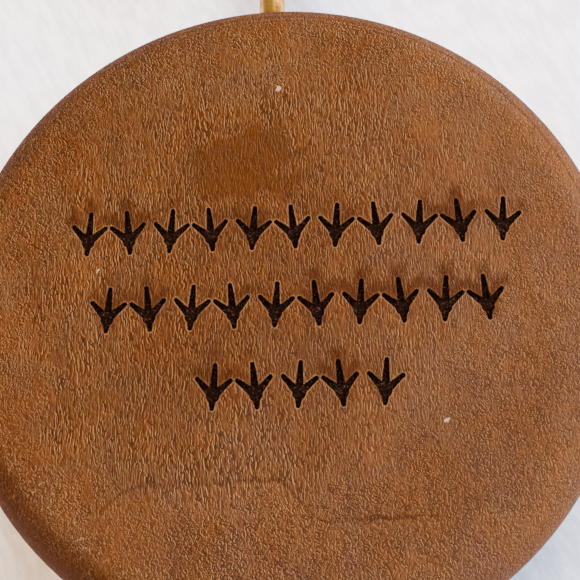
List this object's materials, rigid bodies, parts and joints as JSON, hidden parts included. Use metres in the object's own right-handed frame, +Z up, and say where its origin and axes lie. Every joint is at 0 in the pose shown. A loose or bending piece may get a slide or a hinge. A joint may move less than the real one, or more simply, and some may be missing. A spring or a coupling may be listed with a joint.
{
  "type": "push-pin turkey call",
  "caption": "Closed round wooden friction call: a sprung brass push rod drags a wooden striker peg over a slate plate in its sound chamber.",
  "frame": {"origin": "centre of the underside, on the plane that the call lies on", "axes": "+Z up out of the engraved face, +Y along the push rod towards its button"},
  "size_m": [0.095, 0.1235, 0.028],
  "materials": {
    "walnut_body": "oiled walnut, burnt ornament",
    "walnut_cover": "oiled walnut",
    "walnut_knob": "turned and oiled walnut",
    "maple": "sanded maple",
    "hickory": "sanded hickory, chalk-dusty tip",
    "brass": "drawn and polished brass",
    "brass_screws": "slotted brass",
    "bronze": "rolled phosphor bronze strip",
    "spring_steel": "drawn music wire",
    "black_steel": "black oxide",
    "slate": "roughed slate",
    "felt": "pressed wool felt",
    "rubber": "matt black rubber"
  },
  "bodies": {
    "pot": {"call_body": "walnut_body", "sound_cover": "walnut_cover", "cover_screws": "brass_screws", "pedestal_ring": "maple", "slate_plate": "slate", "front_bushing": "brass", "felt_washer": "felt", "rear_guide_block": "maple", "rear_bushing": "brass", "guide_block_screws": "brass_screws", "rear_spring_washer": "brass", "return_spring": "spring_steel", "leaf_spring": "bronze", "leaf_spring_screws": "brass_screws"},
    "plunger": {"push_rod": "brass", "push_button": "walnut_knob", "button_bumper": "rubber", "stop_collar": "brass", "collar_set_screw": "black_steel", "striker_carriage": "maple", "striker_peg": "hickory", "carriage_set_screw": "black_steel", "front_spring_washer": "brass"}
  },
  "joints": [
    {"name": "push_slide", "type": "slide", "parent": "pot", "child": "plunger", "axis": [0, -1, 0], "range_m": [0, 0.012], "stiffness_N_per_m": 300, "springref_m": -0.004, "deforming": ["return_spring"]}
  ]
}
